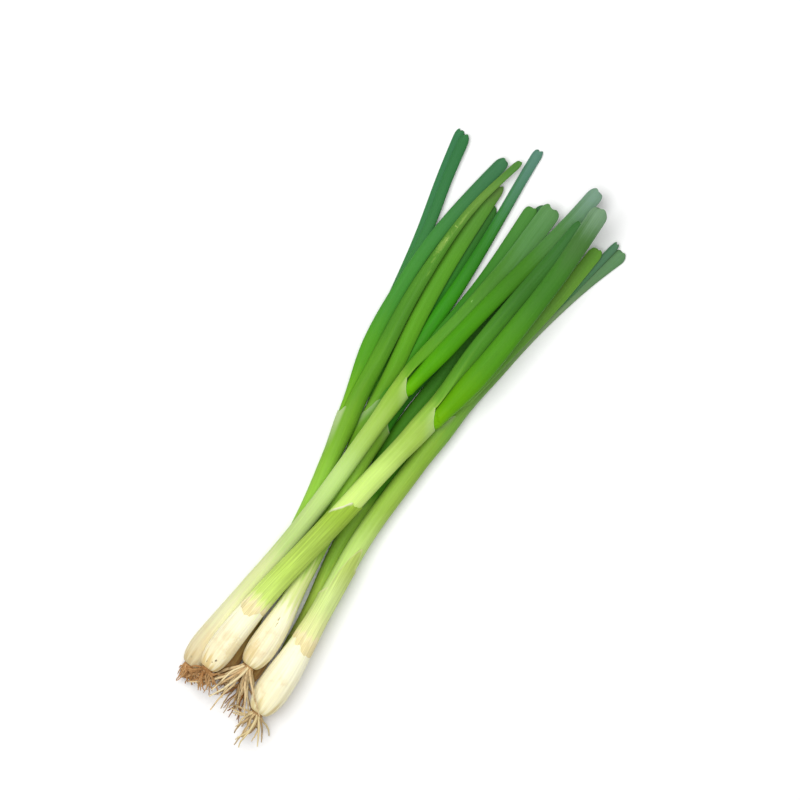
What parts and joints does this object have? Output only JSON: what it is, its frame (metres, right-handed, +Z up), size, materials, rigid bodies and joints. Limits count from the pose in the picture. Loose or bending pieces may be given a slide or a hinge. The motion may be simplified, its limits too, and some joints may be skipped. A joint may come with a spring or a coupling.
{
  "type": "spring onion bunch",
  "caption": "Bunch of spring onions lying flat: slim white bulbs with root tufts, rolled green sheaths, and long hollow leaves that fan out to blunt tips.",
  "frame": {"origin": "on the surface that the bunch lies on, under the middle of its outer box", "axes": "+X from the roots to the leaf tips, +Y across the bunch to the left seen from above, +Z up"},
  "size_m": [0.3698, 0.1194, 0.0342],
  "materials": {
    "shaft": "waxy cream-white bulb grading up the rolled sheath to pale yellow-green, smooth and slightly glossy",
    "roots": "dry tan to brown thin roots, matt",
    "leaf": "hollow leaf, fine lengthwise veins, bright green near the sheath and blue-green to the tip, semi-matt with a faint bloom"
  },
  "bodies": {
    "root": {"onion_1_shaft": "shaft", "onion_1_roots": "roots", "onion_1_leaf_1": "leaf", "onion_1_leaf_2": "leaf", "onion_1_leaf_3": "leaf", "onion_2_shaft": "shaft", "onion_2_roots": "roots", "onion_2_leaf_1": "leaf", "onion_2_leaf_2": "leaf", "onion_2_leaf_3": "leaf", "onion_3_shaft": "shaft", "onion_3_roots": "roots", "onion_3_leaf_1": "leaf", "onion_3_leaf_2": "leaf", "onion_4_shaft": "shaft", "onion_4_roots": "roots", "onion_4_leaf_1": "leaf", "onion_4_leaf_2": "leaf", "onion_4_leaf_3": "leaf", "onion_5_shaft": "shaft", "onion_5_roots": "roots", "onion_5_leaf_1": "leaf", "onion_5_leaf_2": "leaf", "onion_5_leaf_3": "leaf", "onion_5_leaf_4": "leaf", "onion_6_shaft": "shaft", "onion_6_roots": "roots", "onion_6_leaf_1": "leaf", "onion_6_leaf_2": "leaf", "onion_6_leaf_3": "leaf", "onion_7_shaft": "shaft", "onion_7_roots": "roots", "onion_7_leaf_1": "leaf", "onion_7_leaf_2": "leaf"}
  },
  "joints": []
}
